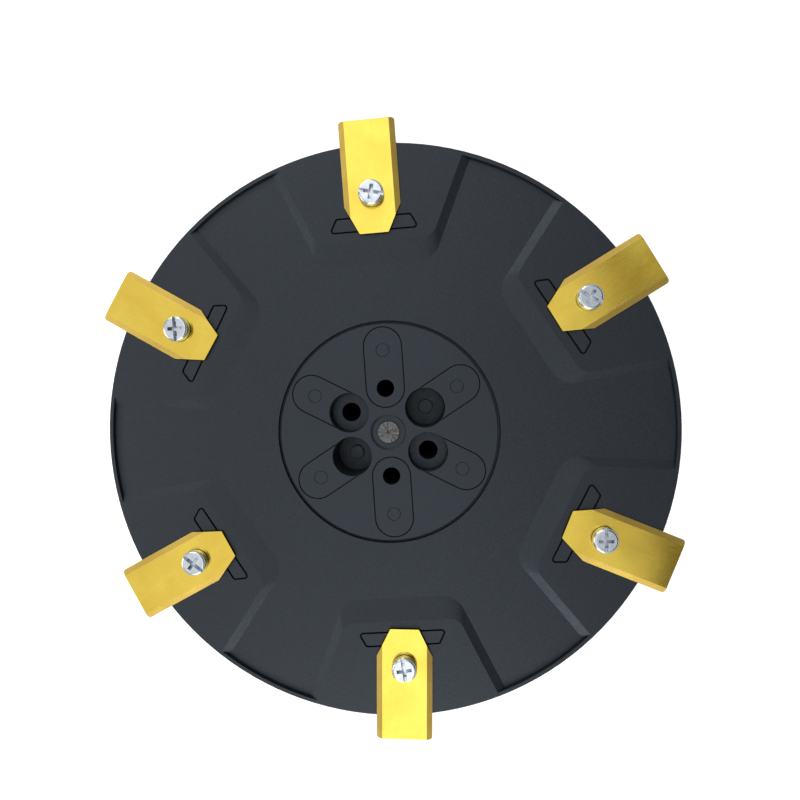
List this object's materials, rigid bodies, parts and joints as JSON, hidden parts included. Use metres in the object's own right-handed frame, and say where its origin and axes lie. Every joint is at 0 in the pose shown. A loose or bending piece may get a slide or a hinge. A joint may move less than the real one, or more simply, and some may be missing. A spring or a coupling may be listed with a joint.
{
  "type": "robot mower blade disc",
  "caption": "Round moulded cutting disc of a robotic lawn mower, carrying small pivoting razor blades on shoulder screws round its rim, with a drilled hub face.",
  "frame": {"origin": "spin axis at the motor seat, the floor of the flange pocket on the motor side", "axes": "+Z along the spin axis, away from the motor, towards the blade side; +Y through the first blade pivot"},
  "size_m": [0.1956, 0.2103, 0.0268],
  "materials": {
    "disc": "fine spark-eroded grain, charcoal black glass-filled nylon",
    "blade": "gold titanium-nitride coat over fine brushing",
    "screw": "bright blue-white zinc plate",
    "insert": "turned and knurled"
  },
  "bodies": {
    "disc": {"disc_body": "disc", "blade_screw_1": "screw", "blade_screw_2": "screw", "blade_screw_3": "screw", "blade_screw_4": "screw", "blade_screw_5": "screw", "blade_screw_6": "screw", "screw_insert_1": "insert", "screw_insert_2": "insert", "screw_insert_3": "insert", "screw_insert_4": "insert", "screw_insert_5": "insert", "screw_insert_6": "insert"},
    "blade_1": {"blade_1": "blade"},
    "blade_2": {"blade_2": "blade"},
    "blade_3": {"blade_3": "blade"},
    "blade_4": {"blade_4": "blade"},
    "blade_5": {"blade_5": "blade"},
    "blade_6": {"blade_6": "blade"}
  },
  "joints": [
    {"name": "blade_1_swing", "type": "hinge", "parent": "disc", "child": "blade_1", "pos_m": [0, 0.08, 0.0185], "axis": [0, 0, 1], "continuous": true},
    {"name": "blade_2_swing", "type": "hinge", "parent": "disc", "child": "blade_2", "pos_m": [-0.06928, 0.04, 0.0185], "axis": [0, 0, 1], "continuous": true},
    {"name": "blade_3_swing", "type": "hinge", "parent": "disc", "child": "blade_3", "pos_m": [-0.06928, -0.04, 0.0185], "axis": [0, 0, 1], "continuous": true},
    {"name": "blade_4_swing", "type": "hinge", "parent": "disc", "child": "blade_4", "pos_m": [0, -0.08, 0.0185], "axis": [0, 0, 1], "continuous": true},
    {"name": "blade_5_swing", "type": "hinge", "parent": "disc", "child": "blade_5", "pos_m": [0.06928, -0.04, 0.0185], "axis": [0, 0, 1], "continuous": true},
    {"name": "blade_6_swing", "type": "hinge", "parent": "disc", "child": "blade_6", "pos_m": [0.06928, 0.04, 0.0185], "axis": [0, 0, 1], "continuous": true}
  ]
}
